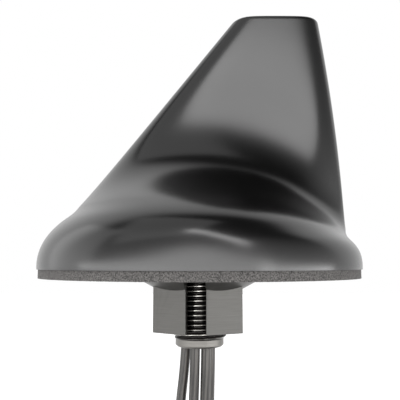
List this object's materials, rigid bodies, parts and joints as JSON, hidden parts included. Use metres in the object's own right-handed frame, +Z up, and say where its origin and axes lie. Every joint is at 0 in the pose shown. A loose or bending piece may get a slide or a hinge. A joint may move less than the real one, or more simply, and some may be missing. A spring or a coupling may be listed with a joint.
{
  "type": "gps antenna",
  "caption": "Fin-shaped roof antenna on a round foot with foam gasket, hollow threaded stud, slotted clamp nut and coaxial leads.",
  "frame": {"origin": "centre of the gasket's underside, on the stud's axis, which is the roof's surface", "axes": "+Z up, away from the roof; -X to the vehicle's front, where the fin slopes; stud and leads point along -Z"},
  "size_m": [0.0919, 0.0918, 0.2207],
  "materials": {
    "cover_plastic": "moulded black weatherproof plastic, satin",
    "foam": "closed-cell foam, granular, dark grey",
    "cast_zinc": "die-cast, matt",
    "seal_rubber": "moulded seal ring",
    "stud_metal": "turned and plated, grey",
    "nut_metal": "plated grey, satin",
    "screw_steel": "plated",
    "circuit_board": "green solder mask on glass laminate",
    "tinned_strip": "tin-plated sheet",
    "patch_ceramic": "fired ceramic, tan",
    "feed_brass": "soldered pin",
    "cable_jacket": "smooth black jacket",
    "tie_fabric": "black woven strap",
    "plug_metal": "gold-flashed brass",
    "sleeve": "shrunk black sleeve"
  },
  "bodies": {
    "root": {"base_plate": "cast_zinc", "board_screws": "screw_steel", "cable_hank": "cable_jacket", "clamp_nut": "nut_metal", "fin_board": "circuit_board", "foam_gasket": "foam", "gnss_feed_pin": "feed_brass", "gnss_patch": "patch_ceramic", "hank_tie": "tie_fabric", "lead_a": "cable_jacket", "lead_b": "cable_jacket", "lead_c": "cable_jacket", "lead_d": "cable_jacket", "lna_shield": "tinned_strip", "main_board": "circuit_board", "mounting_stud": "stud_metal", "plug_a": "plug_metal", "plug_b": "plug_metal", "plug_boot_a": "sleeve", "plug_boot_b": "sleeve", "plug_boot_c": "sleeve", "plug_boot_d": "sleeve", "plug_c": "plug_metal", "plug_d": "plug_metal", "radome": "cover_plastic", "radome_screws": "screw_steel", "radome_seal": "seal_rubber", "rear_element": "tinned_strip", "tail_a": "cable_jacket", "tail_b": "cable_jacket", "tail_c": "cable_jacket", "tail_d": "cable_jacket", "wlan_element_left": "tinned_strip", "wlan_element_right": "tinned_strip"}
  },
  "joints": []
}
